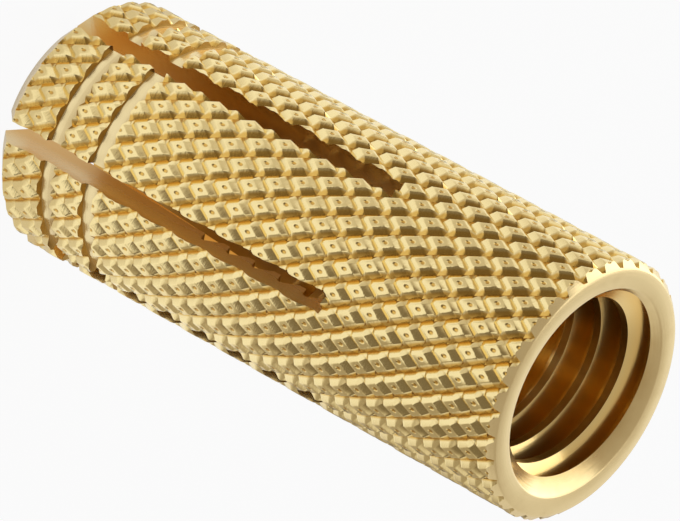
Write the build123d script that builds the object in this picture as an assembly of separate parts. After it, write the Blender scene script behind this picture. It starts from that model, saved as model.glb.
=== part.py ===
from build123d import *
import math
import os

# A knurled brass insert for an M8 screw, turned, tapped and slotted from one bar.
# It stands on its slotted end: the origin is the middle of that end face, the
# axis runs along Z and the threaded mouth looks up. Sizes are in millimetres.

# The turned blank
outer_diameter = 10.0
overall_length = 25.0
mouth_edge = 0.25
slotted_end_edge = 1.0

# The bore: tapped from the mouth, then narrowing to the slotted end
thread_diameter = 8.0
thread_pitch = 1.25
tapped_length = 16.0
jaw_diameter = 4.8

# The saw cuts: each pass of the saw makes two opposite slots
saw_passes = 3
slot_width = 0.8
slot_length = 16.5

# The two ring grooves near the slotted end
ring_count = 2
first_ring_height = 2.75
ring_spacing = 2.1
ring_width = 0.65
ring_depth = 0.30

# The diamond knurl, rolled over the whole outside
knurl_spacing = 1.0
knurl_angle = 30.0
knurl_depth = 0.22
crest_width = 0.5
first_row_drop = 0.2

# How far the cutting shapes reach past the metal
overcut = 0.15

# Radii and steps that follow from the sizes above
outer_radius = outer_diameter / 2
root_radius = outer_radius - knurl_depth
mouth_radius = thread_diameter / 2
tapped_radius = (thread_diameter - 1.0825 * thread_pitch) / 2
starts = round(math.pi * outer_diameter / knurl_spacing)
half_step = math.pi / starts
row_height = math.pi * outer_diameter / starts / math.tan(math.radians(knurl_angle))


def ring(radius, height, turned=0.0):
    """The points where the knurl's furrows cross at one height, evenly round the bar."""
    angles = [turned + 2 * half_step * step for step in range(starts)]
    return [Vector(radius * math.cos(a), radius * math.sin(a), height) for a in angles]


def diamond():
    """The five faces of one raised diamond, facing +X and centred on height 0."""
    side = Vector(root_radius * math.cos(half_step), root_radius * math.sin(half_step), 0)
    tip = Vector(root_radius, 0, row_height / 2)
    crest_side = Vector(math.sqrt(outer_radius**2 - (crest_width / 2) ** 2), crest_width / 2, 0)
    # The crest is flat and each flank is one plane, which sets how tall the crest is
    flank = (tip - side).cross(crest_side - side)
    crest_height = flank.dot(crest_side - Vector(crest_side.X, 0, 0)) / flank.Z
    crest_tip = Vector(crest_side.X, 0, crest_height)

    def mirrored(point, across, up):
        return Vector(point.X, point.Y * across, point.Z * up)

    faces = []
    for across in (1, -1):
        for up in (1, -1):
            corners = [mirrored(p, across, up) for p in (side, tip, crest_tip, crest_side)]
            faces.append(Face(Wire.make_polygon(corners)))
    crest = [crest_side, crest_tip, mirrored(crest_side, -1, 1), mirrored(crest_tip, 1, -1)]
    faces.append(Face(Wire.make_polygon(crest)))
    return faces


def end_cap(height, outward, turned):
    """Closes the knurled bar: a notch filler beside each diamond, then a flat end."""
    tips = ring(root_radius, height + outward * row_height / 2, turned)
    notches = ring(root_radius, height, turned + half_step)
    faces = [Face(Wire.make_polygon(tips))]
    for step in range(starts):
        corners = [tips[step], notches[step], tips[(step + 1) % starts]]
        faces.append(Face(Wire.make_polygon(corners)))
    return faces


def knurled_bar():
    """A solid bar with the diamonds all round, longer than the insert at both ends."""
    pattern = diamond()
    band = []
    for row in (0, 1):
        for step in range(starts):
            turned = half_step * (row + 2 * step)
            place = Location((0, 0, -row * row_height / 2), (0, 0, math.degrees(turned)))
            band += [face.moved(place) for face in pattern]
    band = Shell(band)
    # One row starts above the mouth and the last ends below the standing end
    top_row = overall_length - first_row_drop + row_height
    bands = math.ceil(overall_length / row_height) + 2
    bottom_row = top_row - (bands - 0.5) * row_height
    faces = end_cap(top_row, 1, 0) + end_cap(bottom_row, -1, half_step)
    for number in range(bands):
        faces += band.moved(Location((0, 0, top_row - number * row_height))).faces()
    return Solid(Shell(faces))


def turned_shape():
    """The lathe work: both end chamfers, the ring grooves and the bore, as one revolve."""
    clear_radius = outer_radius + overcut
    floor_radius = outer_radius - ring_depth
    outline = [
        (jaw_diameter / 2, 0),
        (outer_radius - slotted_end_edge, 0),
        (clear_radius, slotted_end_edge + overcut),
    ]
    for number in range(ring_count):
        low = first_ring_height + number * ring_spacing
        high = low + ring_width
        outline += [(clear_radius, low), (floor_radius, low), (floor_radius, high), (clear_radius, high)]
    outline += [
        (clear_radius, overall_length - mouth_edge - overcut),
        (outer_radius - mouth_edge, overall_length),
        (mouth_radius, overall_length),
        (tapped_radius, overall_length - (mouth_radius - tapped_radius)),
        (tapped_radius, overall_length - tapped_length),
    ]
    section = Plane.XZ * make_face(Polyline(*outline, close=True))
    return revolve(section, Axis.Z)


def saw_cuts():
    """The slots, open at the standing end, as flat blades right through the axis."""
    reach = 2 * (outer_radius + overcut)
    low_middle = (Align.CENTER, Align.CENTER, Align.MIN)
    blade = Pos(0, 0, -overcut) * Box(reach, slot_width, slot_length + overcut, align=low_middle)
    return [Rot(0, 0, 180 / saw_passes * number) * blade for number in range(saw_passes)]


insert_body = knurled_bar() & (turned_shape() - saw_cuts())

os.makedirs("parts", exist_ok=True)
export_step(insert_body, "parts/insert_body.step")
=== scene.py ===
# %% [markdown]
# A knurled brass insert is made from one bar, and this script makes it in the
# same order as the workshop does: roll the knurl, cut the bar to shape on the
# lathe, tap the bore and saw the slots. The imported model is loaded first. It
# gives the sizes, and it is the frame that the finished piece has to match.

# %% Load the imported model
import math

import bmesh
import bpy
from mathutils import Matrix, Vector, noise


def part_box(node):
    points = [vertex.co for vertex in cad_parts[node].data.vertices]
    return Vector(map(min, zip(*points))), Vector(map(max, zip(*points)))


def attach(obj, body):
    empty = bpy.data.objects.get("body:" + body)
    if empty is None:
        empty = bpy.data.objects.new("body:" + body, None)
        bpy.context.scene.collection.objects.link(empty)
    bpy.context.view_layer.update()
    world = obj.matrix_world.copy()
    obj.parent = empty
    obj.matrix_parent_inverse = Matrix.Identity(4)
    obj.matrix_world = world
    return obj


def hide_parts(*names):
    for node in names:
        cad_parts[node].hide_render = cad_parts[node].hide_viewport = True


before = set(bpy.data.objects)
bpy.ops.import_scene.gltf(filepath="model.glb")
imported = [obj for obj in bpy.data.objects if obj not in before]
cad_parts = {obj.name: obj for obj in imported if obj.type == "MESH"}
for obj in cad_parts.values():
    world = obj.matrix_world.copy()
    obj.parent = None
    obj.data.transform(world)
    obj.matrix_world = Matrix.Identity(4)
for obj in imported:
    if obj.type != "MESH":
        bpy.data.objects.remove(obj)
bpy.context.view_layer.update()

# %% [markdown]
# A workshop drawing is in millimetres, so the shapes are modelled in
# millimetres too and brought to metres at the end. The insert stands on its
# slotted end with its axis on Z, so the box's highest corner gives both its
# length and its radius. That is safer than typing the two sizes again.

# %% Length and radius
MILLIMETRE = 0.001
FULL_TURN = 2 * math.pi
high_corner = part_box("insert_body")[1]
length = high_corner[2] / MILLIMETRE
outer_radius = min(high_corner[0], high_corner[1]) / MILLIMETRE
print("length", round(length, 3), "mm, outer radius", round(outer_radius, 3), "mm")

# %% [markdown]
# Each step of the work leaves its own finish: the knurl is rolled, the rims
# and grooves are turned, the thread is tapped and the slots are sawn. When a
# boolean cuts a solid, the new faces take the material of the cutting tool. So
# the four materials are made now, still empty, and each tool wears its own.

# %% Four finishes of one brass
finishes = {}
for step_name in ("rolled", "turned", "tapped", "sawn"):
    finish = bpy.data.materials.new(step_name + "_brass")
    finish.use_nodes = True
    finishes[step_name] = finish
print("finishes:", ", ".join(finish.name for finish in finishes.values()))

# %% [markdown]
# Every solid is finished the same way. The seam that a spin leaves is merged,
# the faces are turned outwards, and open edges are counted, because a boolean
# only works on closed solids. A spun tube is open at both ends. Each rim is
# therefore drawn to a point on the axis, well past the metal that is kept.

# %% Close a solid
SAME_PLACE = 1e-4


def finished(bm, name, material):
    """Merges the seams, turns the faces outwards and makes the object."""
    bmesh.ops.remove_doubles(bm, verts=bm.verts, dist=SAME_PLACE)
    bmesh.ops.recalc_face_normals(bm, faces=bm.faces)
    open_edges = sum(1 for edge in bm.edges if not edge.is_manifold)
    print(name, "has", len(bm.faces), "faces and", open_edges, "open edges")
    mesh = bpy.data.meshes.new(name)
    bm.to_mesh(mesh)
    bm.free()
    mesh.materials.append(material)
    piece = bpy.data.objects.new(name, mesh)
    bpy.context.collection.objects.link(piece)
    return piece


def draw_rims_to_points(bm, top_point, bottom_point):
    """Closes both ends of a tube: each rim is extruded and gathered at a point."""
    middle = (top_point + bottom_point) / 2
    rims = [edge for edge in bm.edges if edge.is_boundary]
    top_rim = [edge for edge in rims if edge.verts[0].co.z > middle]
    bottom_rim = [edge for edge in rims if edge.verts[0].co.z <= middle]
    for rim, point in ((top_rim, top_point), (bottom_rim, bottom_point)):
        drawn = bmesh.ops.extrude_edge_only(bm, edges=rim)["geom"]
        ends = [item for item in drawn if isinstance(item, bmesh.types.BMVert)]
        bmesh.ops.pointmerge(bm, verts=ends, merge_co=(0, 0, point))


# %% [markdown]
# The knurl is what makes this insert look like itself: two sets of furrows,
# leaning 30 degrees each way, leave raised diamonds between them. A plain grid
# would cross the furrows at an angle and blur them. Here one line of points
# climbs the bar as a helix, made by spinning a single point with a rise, and a
# second spin carries that line all round. With each quad split along its short
# side, the net's lines run along both sets of furrows.

# %% Net of points along the furrows
starts = 31
knurl_angle = math.radians(30)
first_row_drop = 0.2
net_steps = 6
row_height = FULL_TURN * outer_radius / starts / math.tan(knurl_angle)
top_row = length - first_row_drop + row_height
net_rise = row_height / 2 / net_steps
net_rows = 2 * net_steps * math.ceil(top_row / row_height + 1)
net_foot = top_row - net_rows * net_rise

bar = bmesh.new()
foot = bar.verts.new((outer_radius, 0, net_foot))
bmesh.ops.spin(bar, geom=[foot], axis=(0, 0, 1), dvec=(0, 0, net_rise),
               angle=math.pi / starts / net_steps * net_rows, steps=net_rows)
helix = bar.verts[:] + bar.edges[:]
bmesh.ops.spin(bar, geom=helix, axis=(0, 0, 1), angle=FULL_TURN,
               steps=starts * net_steps, use_merge=True)
bmesh.ops.remove_doubles(bar, verts=bar.verts, dist=SAME_PLACE)
bmesh.ops.triangulate(bar, faces=bar.faces, quad_method="SHORT_EDGE")
print("rows of diamonds are", round(row_height, 3), "mm apart;", len(bar.verts), "points")

# %% [markdown]
# The knurling wheels press the furrows in and push the metal up beside them.
# So each diamond has steep flanks, a burnished lip round its crest, and a
# middle that the metal never quite fills. The profile below is taken across
# one furrow. For each line of the net it gives how far over the line lies, as
# a share of the way to the next furrow, and how high the metal stands there.
# The wheel that makes the climbing furrows presses a little less deep, so they
# keep a slightly higher floor. A slow noise keeps the diamonds from being all
# alike. A texture could only fake this relief, and the outline would stay flat.

# %% Press the furrows in
knurl_depth = 0.22
furrow_profile = ((0.0, 0.0), (0.235, 0.92), (0.30, 1.0), (0.5, 0.78))
climbing_floor = 0.12
unevenness = 0.02
patch_size = 1.6
half_cell = 0.5
point_reach = 2


def across(lines):
    """Where a line of the net lies, in furrows, once the profile has moved it."""
    furrow, line = divmod(round(lines * net_steps), net_steps)
    if line > net_steps / 2:
        return furrow + 1 - furrow_profile[net_steps - line][0]
    return furrow + furrow_profile[line][0]


def height_share(falling_way, climbing_way):
    """How high the metal stands, from the nearer of the two furrows."""
    from_falling = abs(falling_way - round(falling_way))
    from_climbing = abs(climbing_way - round(climbing_way))
    nearest = min(from_falling, from_climbing) + SAME_PLACE
    share = [high for way, high in furrow_profile if way <= nearest][-1]
    if from_climbing + SAME_PLACE < from_falling:
        return climbing_floor + (1 - climbing_floor) * share
    return share


for vert in bar.verts:
    turns = math.atan2(vert.co.y, vert.co.x) / FULL_TURN * starts
    rows = (vert.co.z - top_row) / row_height
    falling_way = across(turns + rows + half_cell)
    climbing_way = across(turns - rows + half_cell)
    angle = (falling_way + climbing_way - 2 * half_cell) * math.pi / starts
    height = (falling_way - climbing_way) / 2 * row_height + top_row
    worn = unevenness * (1 + noise.noise(vert.co / patch_size)) / 2
    radius = outer_radius - worn - knurl_depth * (1 - height_share(falling_way, climbing_way))
    vert.co = (radius * math.cos(angle), radius * math.sin(angle), height)

draw_rims_to_points(bar, top_row + point_reach, net_foot - point_reach)
insert = finished(bar, "knurled_insert", finishes["rolled"])

# %% [markdown]
# Lathe work is one outline turned round the axis. It has a small chamfer at
# the mouth, a larger one at the slotted end, two square ring grooves, and a
# bore that narrows towards the slotted end. A 60 degree thread stands 0.54 of
# its pitch high, which gives the bore that is drilled for it, and a cone leads
# into it at the mouth. One list of corners is easier to check against a drawing
# than a stack of separate cuts.

# %% Outline of the lathe work
mouth_edge = 0.25
slotted_end_edge = 1.0
ring_heights = (2.75, 4.85)
ring_width = 0.65
ring_depth = 0.30
thread_radius = 4.0
thread_pitch = 1.25
depth_per_pitch = 0.54127
thread_depth = depth_per_pitch * thread_pitch
tapped_radius = thread_radius - thread_depth
tapped_length = 16.0
jaw_radius = 2.4
overcut = 0.3
clear_radius = outer_radius + overcut
floor_radius = outer_radius - ring_depth

outline = [(jaw_radius, 0), (outer_radius - slotted_end_edge, 0),
           (clear_radius, slotted_end_edge + overcut)]
for low in ring_heights:
    high = low + ring_width
    outline += [(clear_radius, low), (floor_radius, low), (floor_radius, high), (clear_radius, high)]
outline += [(clear_radius, length - mouth_edge - overcut),
            (outer_radius - mouth_edge, length), (thread_radius, length),
            (tapped_radius, length - thread_depth), (tapped_radius, length - tapped_length)]
print("the outline has", len(outline), "corners")

# %% [markdown]
# A turner breaks every sharp corner a little, so the wire of the outline has
# its corners bevelled before it is spun into a solid. What that solid shares
# with the knurled bar is the turned insert, which is a boolean of the Intersect
# kind. Its Manifold solver is quick and keeps a closed solid closed.

# %% Turn the outline and cut the bar with it
turning_steps = 180
broken_corner = 0.05

lathe = bmesh.new()
corners = [lathe.verts.new((radius, 0, height)) for radius, height in outline]
for pair in zip(corners, corners[1:] + corners[:1]):
    lathe.edges.new(pair)
bmesh.ops.bevel(lathe, geom=corners, affect="VERTICES", offset=broken_corner,
                segments=2, profile=0.5, material=-1)
bmesh.ops.spin(lathe, geom=lathe.verts[:] + lathe.edges[:], axis=(0, 0, 1),
               angle=FULL_TURN, steps=turning_steps, use_merge=True)


def cut(piece, tool, operation):
    """Combines two solids and keeps the result as a plain mesh."""
    step = piece.modifiers.new("cut", "BOOLEAN")
    step.operation = operation
    step.solver = "MANIFOLD"
    step.material_mode = "TRANSFER"
    step.object = tool
    depsgraph = bpy.context.evaluated_depsgraph_get()
    result = bpy.data.meshes.new_from_object(piece.evaluated_get(depsgraph))
    piece.modifiers.clear()
    piece.data = result
    bpy.data.objects.remove(tool)
    print(operation.lower(), "leaves", len(result.polygons), "faces")


cut(insert, finished(lathe, "lathe_work", finishes["turned"]), "INTERSECT")

# %% [markdown]
# A tap is a screw with cutting edges, so the thread is cut with one here too.
# The outline of one tooth, repeated up the tap, is spun one turn while it
# climbs one pitch. Each tooth then ends where the next one began, and merging
# those points joins them all into one true helix. The tap's core is thinner
# than the bore, so that only its teeth cut.

# %% Tap the thread
tap_steps = 96
core_gap = 0.25
tap_core = tapped_radius - core_gap
root_flat = thread_pitch / 8
flank_angle = math.radians(30)
flank_rise = (thread_radius - tap_core) * math.tan(flank_angle)
tooth = ((tap_core, 0), (thread_radius, flank_rise),
         (thread_radius, flank_rise + root_flat), (tap_core, 2 * flank_rise + root_flat))
teeth = math.ceil(tapped_length / thread_pitch)
tap_lift = 0.4
tap_foot = length - tapped_length + tap_lift
shank_reach, tip_reach = 3, 1
seam_gap = 1e-3

tap = bmesh.new()
tap_outline = [(radius, tap_foot + number * thread_pitch + rise)
               for number in range(teeth) for radius, rise in tooth]
tap_outline.append((tap_core, tap_foot + teeth * thread_pitch))
points = [tap.verts.new((radius, 0, height)) for radius, height in tap_outline]
for pair in zip(points, points[1:]):
    tap.edges.new(pair)
bmesh.ops.spin(tap, geom=tap.verts[:] + tap.edges[:], axis=(0, 0, 1), angle=FULL_TURN,
               dvec=(0, 0, thread_pitch / tap_steps), steps=tap_steps)
bmesh.ops.remove_doubles(tap, verts=tap.verts, dist=seam_gap)
draw_rims_to_points(tap, length + shank_reach, tap_foot - tip_reach)
cut(insert, finished(tap, "tap", finishes["tapped"]), "DIFFERENCE")

# %% [markdown]
# Three passes of a thin saw, 60 degrees apart, split the lower end into six
# fingers. Each pass goes right through the axis and so opens two slots. A cube
# scaled to a blade is enough, if it reaches past the metal below and on both
# sides, because a boolean is unsure of faces that only just touch.

# %% Saw the slots
saw_passes = 3
slot_width = 0.8
slot_length = 16.5
saw_reach = 3 * outer_radius
saw_overshoot = 1

for number in range(saw_passes):
    blade = bmesh.new()
    bmesh.ops.create_cube(blade, size=1)
    bmesh.ops.scale(blade, verts=blade.verts,
                    vec=(saw_reach, slot_width, slot_length + saw_overshoot))
    bmesh.ops.translate(blade, verts=blade.verts, vec=(0, 0, (slot_length - saw_overshoot) / 2))
    turn = Matrix.Rotation(math.pi / saw_passes * number, 3, "Z")
    bmesh.ops.rotate(blade, verts=blade.verts, matrix=turn)
    cut(insert, finished(blade, "saw_blade", finishes["sawn"]), "DIFFERENCE")

# %% [markdown]
# Now the mesh is brought to metres. Edges sharper than the crest's soft lip
# stay crisp and everything gentler is shaded smooth. The piece takes the place
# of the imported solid, moves with its body and wears its material slot.

# %% The finished piece
crisp_angle = math.radians(38)
insert.data.transform(Matrix.Scale(MILLIMETRE, 4))
insert.data.shade_smooth()
insert.data.set_sharp_from_angle(angle=crisp_angle)
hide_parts("insert_body")
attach(insert, "root")
triangles = sum(len(face.vertices) - 2 for face in insert.data.polygons)
print("the insert has", triangles, "triangles and", len(insert.data.materials), "materials")

# %% [markdown]
# Round things are easiest to finish in round coordinates. This node group
# turns Object coordinates into the distance from the axis and the height, both
# in millimetres. The tool marks and three of the finishes use it, so it is
# built once. Three small helpers keep the wiring of this group and of the
# later ones short.

# %% Node group: distance from the axis and height
FLOAT, COLOR = "NodeSocketFloat", "NodeSocketColor"


def new_group(name, inputs, outputs):
    """An empty node group with named sockets."""
    group = bpy.data.node_groups.new(name, "ShaderNodeTree")
    for socket_name, kind, value in inputs:
        socket = group.interface.new_socket(socket_name, in_out="INPUT", socket_type=kind)
        socket.default_value = value
    for socket_name, kind in outputs:
        group.interface.new_socket(socket_name, in_out="OUTPUT", socket_type=kind)
    return group, group.nodes.new("NodeGroupInput"), group.nodes.new("NodeGroupOutput")


def math_node(tree, operation, first, second=None):
    """A Math node whose inputs are numbers or sockets."""
    node = tree.nodes.new("ShaderNodeMath")
    node.operation = operation
    for socket, value in zip(node.inputs, (first, second)):
        if isinstance(value, (int, float)):
            socket.default_value = value
        elif value is not None:
            tree.links.new(value, socket)
    return node.outputs[0]


def object_axes(tree):
    """The X, Y and Z of the Object coordinates, in metres."""
    place = tree.nodes.new("ShaderNodeTexCoord")
    split = tree.nodes.new("ShaderNodeSeparateXYZ")
    tree.links.new(place.outputs["Object"], split.inputs[0])
    return tuple(split.outputs)


round_group, _, group_out = new_group(
    "round_coordinates", [], [("Radius", FLOAT), ("Height", FLOAT)])
x, y, z = object_axes(round_group)
squares = [math_node(round_group, "POWER", axis, 2) for axis in (x, y)]
from_axis = math_node(round_group, "SQRT", math_node(round_group, "ADD", *squares))
for socket_name, metres in (("Radius", from_axis), ("Height", z)):
    millimetres = math_node(round_group, "DIVIDE", metres, MILLIMETRE)
    round_group.links.new(millimetres, group_out.inputs[socket_name])
print("built", round_group.name)

# %% [markdown]
# A cutting edge leaves fine marks along its path. On turned and tapped metal
# they are rings, which differ only from one radius or height to the next, and
# a saw leaves them across the slot. One group draws both kinds: it stretches a
# noise over radius and height, with its own number of marks each way.

# %% Node group: tool marks
marks_group, group_in, group_out = new_group(
    "tool_marks",
    [("Marks Outward", FLOAT, 10.0), ("Marks Upward", FLOAT, 10.0)],
    [("Height", FLOAT)])
around = marks_group.nodes.new("ShaderNodeGroup")
around.node_tree = round_group
stretched = marks_group.nodes.new("ShaderNodeCombineXYZ")
for axis, place, count in (("X", "Radius", "Marks Outward"), ("Z", "Height", "Marks Upward")):
    way = math_node(marks_group, "MULTIPLY", around.outputs[place], group_in.outputs[count])
    marks_group.links.new(way, stretched.inputs[axis])
marks = marks_group.nodes.new("ShaderNodeTexNoise")
marks.inputs["Scale"].default_value = 1.0
marks.inputs["Detail"].default_value = 3.0
marks_group.links.new(stretched.outputs[0], marks.inputs["Vector"])
marks_group.links.new(marks.outputs["Fac"], group_out.inputs["Height"])
print("built", marks_group.name)

# %% [markdown]
# The rolled finish follows the diamonds, so the shader has to know where it is
# on a diamond. This group works out the same two ways across the furrows as the
# mesh did, from the angle and the height. Each of them runs from 0 at one furrow
# to 1 at the next, and a third output gives the distance from the crest's
# middle. A UV map could say the same, but the booleans would have to carry it.

# %% Node group: place on the diamond
diamond_group, _, group_out = new_group(
    "place_on_diamond", [],
    [("Across Falling", FLOAT), ("Across Climbing", FLOAT), ("Off Middle", FLOAT)])
x, y, z = object_axes(diamond_group)
angle_round = math_node(diamond_group, "ARCTAN2", y, x)
turns_round = math_node(diamond_group, "MULTIPLY", angle_round, starts / FULL_TURN)
from_top = math_node(diamond_group, "SUBTRACT", z, top_row * MILLIMETRE)
rows_up = math_node(diamond_group, "DIVIDE", from_top, row_height * MILLIMETRE)
squares = []
for socket_name, operation in (("Across Falling", "ADD"), ("Across Climbing", "SUBTRACT")):
    way = math_node(diamond_group, operation, turns_round, rows_up)
    across_cell = math_node(diamond_group, "FRACT", math_node(diamond_group, "ADD", way, half_cell))
    diamond_group.links.new(across_cell, group_out.inputs[socket_name])
    off_line = math_node(diamond_group, "SUBTRACT", across_cell, half_cell)
    squares.append(math_node(diamond_group, "POWER", off_line, 2))
off_middle = math_node(diamond_group, "SQRT", math_node(diamond_group, "ADD", *squares))
diamond_group.links.new(off_middle, group_out.inputs["Off Middle"])
print("built", diamond_group.name)

# %% [markdown]
# Each finish paints light and shade into its brass: a mask says where the metal is lit and bright,
# and where it lies in painted shade and is deeper in colour. This group turns the mask into a colour
# and a roughness, and a soft patchy noise keeps the two from meeting in a line. All four finishes
# share it, each with its own two colours, so that they look like one metal.

# %% Node group: bright and deep brass
patch_scale = 900.0


def mix_node(tree, data_type, share, first, second):
    """A Mix node between two numbers, colours or sockets."""
    node = tree.nodes.new("ShaderNodeMix")
    node.data_type = data_type
    sockets = [socket for socket in node.inputs if socket.enabled]
    for socket, value in zip(sockets, (share, first, second)):
        if isinstance(value, bpy.types.NodeSocket):
            tree.links.new(value, socket)
        else:
            socket.default_value = value
    return next(socket for socket in node.outputs if socket.enabled)


brass_group, group_in, group_out = new_group(
    "bright_and_deep",
    [("Brightness", FLOAT, 1.0), ("Patchiness", FLOAT, 0.4),
     ("Bright", COLOR, (0.88, 0.67, 0.30, 1)), ("Deep", COLOR, (0.5, 0.28, 0.06, 1)),
     ("Bright Roughness", FLOAT, 0.22), ("Deep Roughness", FLOAT, 0.45)],
    [("Color", COLOR), ("Roughness", FLOAT)])
place = brass_group.nodes.new("ShaderNodeTexCoord")
patches = brass_group.nodes.new("ShaderNodeTexNoise")
patches.inputs["Scale"].default_value = patch_scale
patches.inputs["Detail"].default_value = 4.0
brass_group.links.new(place.outputs["Object"], patches.inputs["Vector"])
off_centre = math_node(brass_group, "SUBTRACT", patches.outputs["Fac"], 0.5)
patchy = math_node(brass_group, "MULTIPLY", off_centre, group_in.outputs["Patchiness"])
brightness = math_node(brass_group, "ADD", group_in.outputs["Brightness"], patchy)
for socket_name, data_type, deep, bright in (
        ("Color", "RGBA", "Deep", "Bright"),
        ("Roughness", "FLOAT", "Deep Roughness", "Bright Roughness")):
    mixed = mix_node(brass_group, data_type, brightness,
                     group_in.outputs[deep], group_in.outputs[bright])
    brass_group.links.new(mixed, group_out.inputs[socket_name])
print("built", brass_group.name)

# %% [markdown]
# Every finish is wired alike, so one helper does it: the brightness goes
# through the brass group to the colour and the roughness, and the tool marks go
# through a Bump node to the normal. They are far too fine to be modelled.

# %% Wire a finish
def group_node(tree, group, **values):
    """A node of a group, with its inputs set by name."""
    node = tree.nodes.new("ShaderNodeGroup")
    node.node_tree = group
    for socket_name, value in values.items():
        node.inputs[socket_name.replace("_", " ")].default_value = value
    return node


def stepped(tree, value, low, high):
    """A smooth step from 0 at the low value to 1 at the high one."""
    node = tree.nodes.new("ShaderNodeMapRange")
    node.interpolation_type = "SMOOTHSTEP"
    node.inputs["From Min"].default_value = low
    node.inputs["From Max"].default_value = high
    tree.links.new(value, node.inputs["Value"])
    return node.outputs["Result"]


def wire_finish(finish, brightness, colors, height, mark_depth):
    """Joins the brightness, the colours and the marks to the shader."""
    tree = finish.node_tree
    shader = tree.nodes["Principled BSDF"]
    shader.inputs["Metallic"].default_value = 1.0
    brass = group_node(tree, brass_group, **colors)
    tree.links.new(brightness, brass.inputs["Brightness"])
    tree.links.new(brass.outputs["Color"], shader.inputs["Base Color"])
    tree.links.new(brass.outputs["Roughness"], shader.inputs["Roughness"])
    bump = tree.nodes.new("ShaderNodeBump")
    bump.inputs["Distance"].default_value = mark_depth * MILLIMETRE
    tree.links.new(height, bump.inputs["Height"])
    tree.links.new(bump.outputs["Normal"], shader.inputs["Normal"])
    print(finish.name, "is wired")


# %% [markdown]
# The crests of rolled metal are left at full brightness, and the furrows are painted in shade. The
# falling furrows are painted a deep brown shade, above all on the flank below each of them, which
# faces away from the light, and the climbing furrows are painted only a little darker than the
# crests. The middle of each crest is a small dimple, bumped eight tool marks deep and painted a
# little darker as shade. All of this follows the diamonds, so steps across a diamond draw it better
# than a general mask would.

# %% Rolled brass
shaded_furrow_foot = (0.0, 0.09)
shaded_flank = (0.88, 0.76)
shaded_climbing_foot = (0.0, 0.08)
climbing_shade_level = 0.8
dimple_edge = (0.04, 0.12)
dimple_in_marks = 8.0

tree = finishes["rolled"].node_tree
diamond = group_node(tree, diamond_group)
# Painted shade: these masks darken each furrow's foot, the flank below each falling furrow, each
# climbing furrow's foot and the crest's dimple.
off_foot = stepped(tree, diamond.outputs["Across Falling"], *shaded_furrow_foot)
off_flank = stepped(tree, diamond.outputs["Across Falling"], *shaded_flank)
off_climbing = stepped(tree, diamond.outputs["Across Climbing"], *shaded_climbing_foot)
off_dimple = stepped(tree, diamond.outputs["Off Middle"], *dimple_edge)
brightness = mix_node(tree, "FLOAT", off_climbing, climbing_shade_level, 1.0)
for mask in (off_foot, off_flank, off_dimple):
    brightness = math_node(tree, "MULTIPLY", brightness, mask)
streaks = group_node(tree, marks_group, Marks_Outward=3.0, Marks_Upward=12.0)
dimple_rise = math_node(tree, "MULTIPLY", off_dimple, dimple_in_marks)
relief = math_node(tree, "ADD", dimple_rise, streaks.outputs["Height"])
rolled_colors = dict(Bright=(0.94, 0.77, 0.38, 1), Deep=(0.74, 0.46, 0.11, 1),
                     Bright_Roughness=0.18, Deep_Roughness=0.22, Patchiness=0.3)
wire_finish(finishes["rolled"], brightness, rolled_colors, relief, mark_depth=0.004)

# %% [markdown]
# Turned metal is freshly cut and pale. It is brightest on the outside and is painted deeper into the
# bore, as shade where little light reaches. A little painted shade also sits in the lower corner of
# each ring groove. The tapped and the sawn metal change with the radius in the same way, so one
# helper serves all three.

# %% Turned brass
corner_shade_width = 0.08


def cut_finish(step_name, radii, marks, mark_depth, colors, shaded_corners=()):
    """Brass that goes from deep to bright between two radii, with tool marks."""
    tree = finishes[step_name].node_tree
    around = group_node(tree, round_group)
    # Painted light and shade: the colour changes with the distance from the axis, for the shade and
    # the bounced light inside the bore and the slots.
    brightness = stepped(tree, around.outputs["Radius"], *radii)
    for corner in shaded_corners:
        # Painted shade in the corner of each ring groove.
        above = math_node(tree, "SUBTRACT", around.outputs["Height"], corner)
        off_corner = stepped(tree, math_node(tree, "ABSOLUTE", above), 0.0, corner_shade_width)
        brightness = math_node(tree, "MULTIPLY", brightness, off_corner)
    tool_marks = group_node(tree, marks_group, Marks_Outward=marks[0], Marks_Upward=marks[1])
    wire_finish(finishes[step_name], brightness, colors, tool_marks.outputs["Height"], mark_depth)


cut_finish("turned", radii=(3.0, 4.2), marks=(9.0, 9.0), mark_depth=0.006,
           colors=dict(Bright=(0.86, 0.70, 0.38, 1), Deep=(0.5, 0.32, 0.10, 1),
                       Bright_Roughness=0.22, Deep_Roughness=0.32, Patchiness=0.6),
           shaded_corners=ring_heights)

# %% [markdown]
# In the picture the thread's roots glow a warm orange, because light reaches
# them only after several bounces off brass, and its crests are paler. The
# renderer stops after a few bounces, so the roots' own colour is more orange.
# The slots are much the same: orange inside and paler towards the outside.

# %% Tapped and sawn brass
cut_finish("tapped", radii=(3.3, 3.9), marks=(14.0, 14.0), mark_depth=0.002,
           colors=dict(Bright=(0.97, 0.67, 0.24, 1), Deep=(0.95, 0.73, 0.33, 1),
                       Bright_Roughness=0.2, Deep_Roughness=0.18))
cut_finish("sawn", radii=(3.2, 4.9), marks=(1.5, 11.0), mark_depth=0.004,
           colors=dict(Bright=(0.92, 0.75, 0.42, 1), Deep=(0.84, 0.50, 0.12, 1),
                       Bright_Roughness=0.2, Deep_Roughness=0.3))

# %% [markdown]
# Polished metal shows its surroundings more than its own colour. So the light
# is arranged for what each flank of a diamond reflects. Judged by the flanks in
# the picture, it is lightest towards the back left, lighter on the left than on
# the right, and dark behind the camera. Two helpers work out that level from a
# direction, so that the floor and the room can share it. Each side below is an
# azimuth in degrees and the two cosines between which its share grows.

# %% Level to each side
LEFT_SIDE = (-110, -0.5, 0.5)
BACK_LEFT = (-165, 0.6, 0.9)
CAMERA_SIDE = (-20, 0.3, 0.75)
FULL_LEVEL = 1.0
right_wall, left_wall, camera_wall = 0.78, 1.0, 0.21


def vector_node(tree, operation, vector):
    """A Vector Math node on one vector."""
    node = tree.nodes.new("ShaderNodeVectorMath")
    node.operation = operation
    tree.links.new(vector, node.inputs[0])
    return node


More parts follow.
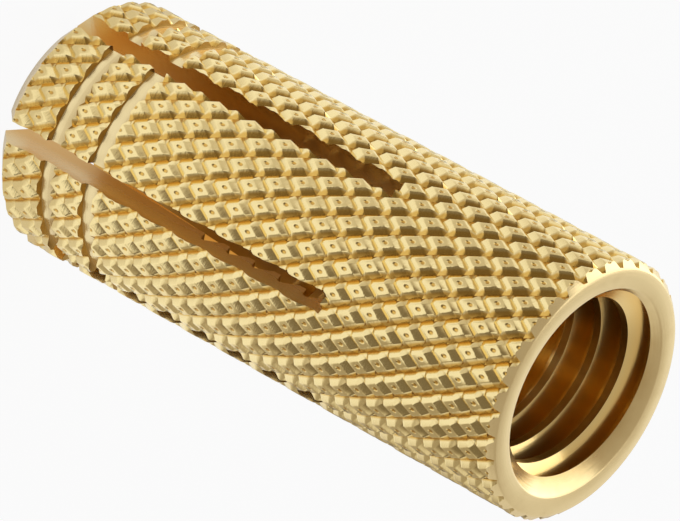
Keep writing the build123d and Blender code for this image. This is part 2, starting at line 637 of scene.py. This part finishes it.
def share_toward(tree, direction, azimuth, low, high):
    """A share that grows from 0 to 1 as a direction turns to one side."""
    turn = math.radians(azimuth)
    toward = vector_node(tree, "DOT_PRODUCT", direction)
    toward.inputs[1].default_value = (math.cos(turn), math.sin(turn), 0)
    return stepped(tree, toward.outputs["Value"], low, high)


def level_around(tree, direction, right_level, left_level):
    """The level in a direction: lighter on the left, full at the back left."""
    left_share = share_toward(tree, direction, *LEFT_SIDE)
    side_level = mix_node(tree, "FLOAT", left_share, right_level, left_level)
    back_share = share_toward(tree, direction, *BACK_LEFT)
    return mix_node(tree, "FLOAT", back_share, side_level, FULL_LEVEL)


def far_level_around(tree, direction):
    """The level far off, where it is dark behind the camera."""
    wall_level = level_around(tree, direction, right_wall, left_wall)
    camera_share = share_toward(tree, direction, *CAMERA_SIDE)
    return mix_node(tree, "FLOAT", camera_share, wall_level, camera_wall)


print("walls, from the left to the camera:", left_wall, right_wall, camera_wall)

# %% [markdown]
# The picture's background is pure white, but more light would bleach the
# brass. So some rays see a plain glow in place of the real surface: those of
# the camera, and those that the metal reflects. Light Path tells them apart.
# A reflected glow has its own level, and where it is dim it is also warmer,
# which keeps the dark flanks brown and not grey. All other rays see the real
# surface, so the floor still gets a soft shadow.

# %% Glow in place of a surface
DUSK, DAYLIGHT = (1.0, 0.78, 0.48, 1), (1, 1, 1, 1)


def glow_for_rays(tree, real, glow, camera_share, reflected_level):
    """Blends a surface and its glow by the kind of ray that sees them."""
    path = tree.nodes.new("ShaderNodeLightPath").outputs
    reflected = math_node(tree, "MAXIMUM", path["Is Glossy Ray"], path["Is Transmission Ray"])
    direct = math_node(tree, "MULTIPLY", path["Is Camera Ray"], camera_share)
    seen = math_node(tree, "MAXIMUM", direct, reflected)
    level = mix_node(tree, "FLOAT", reflected, FULL_LEVEL, reflected_level)
    tree.links.new(level, glow.inputs["Strength"])
    tree.links.new(mix_node(tree, "RGBA", level, DUSK, DAYLIGHT), glow.inputs["Color"])
    blend = tree.nodes.new("ShaderNodeMixShader")
    tree.links.new(seen, blend.inputs["Fac"])
    tree.links.new(real.outputs[0], blend.inputs[1])
    tree.links.new(glow.outputs[0], blend.inputs[2])
    return blend.outputs[0]


print("dim reflections are tinted", DUSK[:3])

# %% [markdown]
# The picture shows plain white round the insert, with no edge and no horizon.
# So it stands on a sheet of white paper that is far larger than the view. A
# grid of one face is enough, because only its material has work to do. The
# paper itself is matt and short of pure white, so that a lamp can't clip it.

# %% White paper
floor_reach = 1.5
paper_white = (0.85, 0.85, 0.85, 1)

floor_net = bmesh.new()
bmesh.ops.create_grid(floor_net, x_segments=1, y_segments=1, size=floor_reach)
paper = bpy.data.materials.new("white_paper")
paper.use_nodes = True
paper_tree = paper.node_tree
paper_shader = paper_tree.nodes["Principled BSDF"]
paper_shader.inputs["Base Color"].default_value = paper_white
paper_shader.inputs["Roughness"].default_value = 1.0
paper_shader.inputs["Specular IOR Level"].default_value = 0.0
floor = finished(floor_net, "paper_floor", paper)

# %% [markdown]
# What the metal reflects of the paper changes with the distance from its foot,
# measured in metres. It is a little darker right at the foot, as in the shade
# of the insert, and brightest close round it. Further out it is dim at the
# sides and bright in front, and it ends in the level of the far room. This is
# what draws the dark and light flanks of the diamonds.

# %% The paper as the metal sees it
FRONT_SIDE = (-10, 0.8, 0.95)
foot_zone, near_zone, far_zone = (0.006, 0.011), (0.012, 0.032), (0.07, 0.13)
foot_level = 0.7
right_paper, left_paper = 0.42, 0.66
paper_camera_share = 0.94

paper_place = paper_tree.nodes.new("ShaderNodeTexCoord").outputs["Object"]
from_foot = vector_node(paper_tree, "LENGTH", paper_place).outputs["Value"]
paper_side = vector_node(paper_tree, "NORMALIZE", paper_place).outputs["Vector"]
past_foot, past_near, past_far = (stepped(paper_tree, from_foot, *zone)
                                  for zone in (foot_zone, near_zone, far_zone))
side_level = level_around(paper_tree, paper_side, right_paper, left_paper)
in_front = share_toward(paper_tree, paper_side, *FRONT_SIDE)
around_level = mix_node(paper_tree, "FLOAT", in_front, side_level, FULL_LEVEL)
close_level = mix_node(paper_tree, "FLOAT", past_foot, foot_level, FULL_LEVEL)
near_level = mix_node(paper_tree, "FLOAT", past_near, close_level, around_level)
far_level = far_level_around(paper_tree, paper_side)
paper_level = mix_node(paper_tree, "FLOAT", past_far, near_level, far_level)
paper_glow = paper_tree.nodes.new("ShaderNodeEmission")
shown = glow_for_rays(paper_tree, paper_shader, paper_glow, paper_camera_share, paper_level)
paper_tree.links.new(shown, paper_tree.nodes["Material Output"].inputs["Surface"])
print("the paper reaches", floor_reach, "m each way")

# %% [markdown]
# The room is a world without walls. It lights the insert dimly from all round,
# which a real studio's walls would do, and the camera sees it as white. The
# metal sees the same far level as at the paper's edge, and half of full light
# overhead, which keeps the mouth's rim and its first thread calm.

# %% Dim room
room_level = 0.22
room_camera_share = 1.0
overhead_level = 0.5
overhead_rise = (0.35, 0.8)

world = bpy.data.worlds.new("studio")
bpy.context.scene.world = world
world.use_nodes = True
room_tree = world.node_tree
room = room_tree.nodes["Background"]
room.inputs["Color"].default_value = DAYLIGHT
room.inputs["Strength"].default_value = room_level
room_glow = room_tree.nodes.new("ShaderNodeBackground")
direction = room_tree.nodes.new("ShaderNodeTexCoord").outputs["Generated"]
upward = room_tree.nodes.new("ShaderNodeSeparateXYZ")
room_tree.links.new(direction, upward.inputs[0])
overhead = stepped(room_tree, upward.outputs["Z"], *overhead_rise)
walls_level = far_level_around(room_tree, direction)
reflected_room = mix_node(room_tree, "FLOAT", overhead, walls_level, overhead_level)
shown = glow_for_rays(room_tree, room, room_glow, room_camera_share, reflected_room)
room_tree.links.new(shown, room_tree.nodes["World Output"].inputs["Surface"])
print("the room's level is", room_level)

# %% [markdown]
# One wide soft box stands at the back left and looks at the insert's middle. In
# the picture the flanks that face that way are the bright ones. An area lamp
# of this size gives the soft edge that they have, where a point or a sun would
# leave a hard glint. A level of 1 makes it as bright as white paper.

# %% Soft lamp
lamp_azimuth, lamp_elevation, lamp_away = -150, 34, 0.30
lamp_width, lamp_height, lamp_level = 0.35, 0.30, 1.0


def direction_to(azimuth, elevation):
    """The direction from the insert to a lamp or camera, from angles in degrees."""
    turn, lift = math.radians(azimuth), math.radians(elevation)
    flat = math.cos(lift)
    return Vector((flat * math.cos(turn), flat * math.sin(turn), math.sin(lift)))


lamp_data = bpy.data.lights.new("back_left_lamp", "AREA")
lamp_data.shape = "RECTANGLE"
lamp_data.size = lamp_width
lamp_data.size_y = lamp_height
lamp_data.energy = lamp_level * math.pi * lamp_width * lamp_height
lamp = bpy.data.objects.new("back_left_lamp", lamp_data)
bpy.context.collection.objects.link(lamp)
toward_lamp = direction_to(lamp_azimuth, lamp_elevation)
lamp.location = toward_lamp * lamp_away + Vector((0, 0, length / 2 * MILLIMETRE))
lamp.rotation_mode = "QUATERNION"
lamp.rotation_quaternion = toward_lamp.to_track_quat("Z", "Y")
print("the lamp gives", round(lamp_data.energy, 3), "watts")

# %% [markdown]
# The camera stands where the picture was taken from, measured from the
# outline, the mouth and the grooves. It looks down at the mouth from 34 degrees
# and is rolled far over, which is why the upright insert appears to lie down.

# %% Camera
camera_azimuth, camera_elevation = -20.3, 33.78
camera_roll = math.radians(118.68)
camera_distance = 230.3 * MILLIMETRE
aim = Vector((0.02, 0.06, 13.26)) * MILLIMETRE

camera_data = bpy.data.cameras.new("camera")
camera_data.sensor_width = 36.0
camera_data.lens = 339.8
camera_data.clip_start = 0.01
camera_data.clip_end = 20.0
camera = bpy.data.objects.new("camera", camera_data)
bpy.context.collection.objects.link(camera)
toward_camera = direction_to(camera_azimuth, camera_elevation)
camera.location = aim + toward_camera * camera_distance
camera.rotation_mode = "QUATERNION"
level_view = toward_camera.to_track_quat("Z", "Y")
camera.rotation_quaternion = level_view @ Matrix.Rotation(camera_roll, 3, "Z").to_quaternion()
bpy.context.scene.camera = camera
bpy.context.scene.view_settings.view_transform = "Standard"
print("the camera is", round(camera_distance, 3), "m away")
